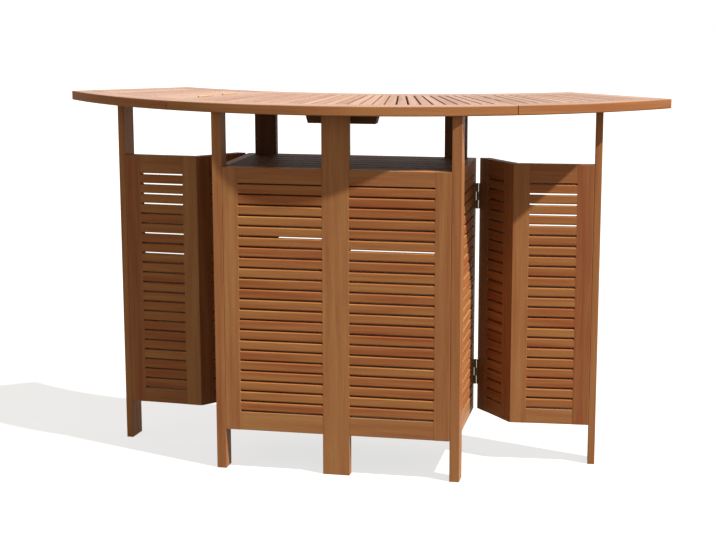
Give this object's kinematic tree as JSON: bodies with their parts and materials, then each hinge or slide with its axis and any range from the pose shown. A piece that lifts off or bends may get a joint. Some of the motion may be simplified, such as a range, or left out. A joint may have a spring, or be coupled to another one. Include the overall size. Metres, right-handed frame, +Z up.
{
  "type": "folding bar counter",
  "caption": "Slatted teak bar counter with a crescent top in three hinged sections, louvred front and sides, shelves behind, and folding louvred wings.",
  "frame": {"origin": "on the floor under the middle of the whole counter's box", "axes": "+Z up, +X along the counter to the customer's right, -Y towards the customer"},
  "size_m": [1.7898, 0.6266, 1.0539],
  "materials": {
    "teak_frame": "oiled",
    "teak_slats": "oiled",
    "teak_top": "oiled, sun-bleached",
    "brass": "satin"
  },
  "bodies": {
    "counter": {"centre_cleat": "teak_top", "centre_post": "teak_frame", "front_frame_left": "teak_frame", "front_frame_right": "teak_frame", "front_leg_left": "teak_frame", "front_leg_right": "teak_frame", "front_louvres_left": "teak_slats", "front_louvres_right": "teak_slats", "leaf_hinge_back_fixed_left": "brass", "leaf_hinge_back_fixed_right": "brass", "leaf_hinge_front_fixed_left": "brass", "leaf_hinge_front_fixed_right": "brass", "lower_shelf": "teak_slats", "rear_bottom_rail": "teak_frame", "rear_post_left": "teak_frame", "rear_post_right": "teak_frame", "rear_top_rail": "teak_frame", "side_frame_left": "teak_frame", "side_frame_right": "teak_frame", "side_louvres_left": "teak_slats", "side_louvres_right": "teak_slats", "top_back_rim": "teak_top", "top_end_rail_left": "teak_top", "top_end_rail_right": "teak_top", "top_front_rim": "teak_top", "top_slats": "teak_top", "upper_shelf": "teak_slats", "wing_hinge_lower_fixed_left": "brass", "wing_hinge_lower_fixed_right": "brass", "wing_hinge_upper_fixed_left": "brass", "wing_hinge_upper_fixed_right": "brass"},
    "leaf_left": {"leaf_back_rim_left": "teak_top", "leaf_end_rail_left": "teak_top", "leaf_front_rim_left": "teak_top", "leaf_hinge_back_moving_left": "brass", "leaf_hinge_front_moving_left": "brass", "leaf_hinge_rail_left": "teak_top", "leaf_slats_left": "teak_top"},
    "leaf_right": {"leaf_back_rim_right": "teak_top", "leaf_end_rail_right": "teak_top", "leaf_front_rim_right": "teak_top", "leaf_hinge_back_moving_right": "brass", "leaf_hinge_front_moving_right": "brass", "leaf_hinge_rail_right": "teak_top", "leaf_slats_right": "teak_top"},
    "wing_left": {"wing_front_frame_left": "teak_frame", "wing_front_louvres_left": "teak_slats", "wing_hinge_lower_moving_left": "brass", "wing_hinge_upper_moving_left": "brass", "wing_leg_left": "teak_frame", "wing_return_frame_left": "teak_frame", "wing_return_louvres_left": "teak_slats"},
    "wing_right": {"wing_front_frame_right": "teak_frame", "wing_front_louvres_right": "teak_slats", "wing_hinge_lower_moving_right": "brass", "wing_hinge_upper_moving_right": "brass", "wing_leg_right": "teak_frame", "wing_return_frame_right": "teak_frame", "wing_return_louvres_right": "teak_slats"}
  },
  "joints": [
    {"name": "wing_swing_left", "type": "hinge", "parent": "counter", "child": "wing_left", "pos_m": [-0.3465, 0.11058, 0], "axis": [0, 0, -1], "range_deg": [0, 168]},
    {"name": "wing_swing_right", "type": "hinge", "parent": "counter", "child": "wing_right", "pos_m": [0.3465, 0.11058, 0], "axis": [0, 0, 1], "range_deg": [0, 168]},
    {"name": "leaf_fold_left", "type": "hinge", "parent": "counter", "child": "leaf_left", "pos_m": [-0.40315, -0.00742, 1.051], "axis": [0.4195, 0.9078, 0], "range_deg": [0, 180]},
    {"name": "leaf_fold_right", "type": "hinge", "parent": "counter", "child": "leaf_right", "pos_m": [0.40315, -0.00742, 1.051], "axis": [0.4195, -0.9078, 0], "range_deg": [0, 180]}
  ]
}
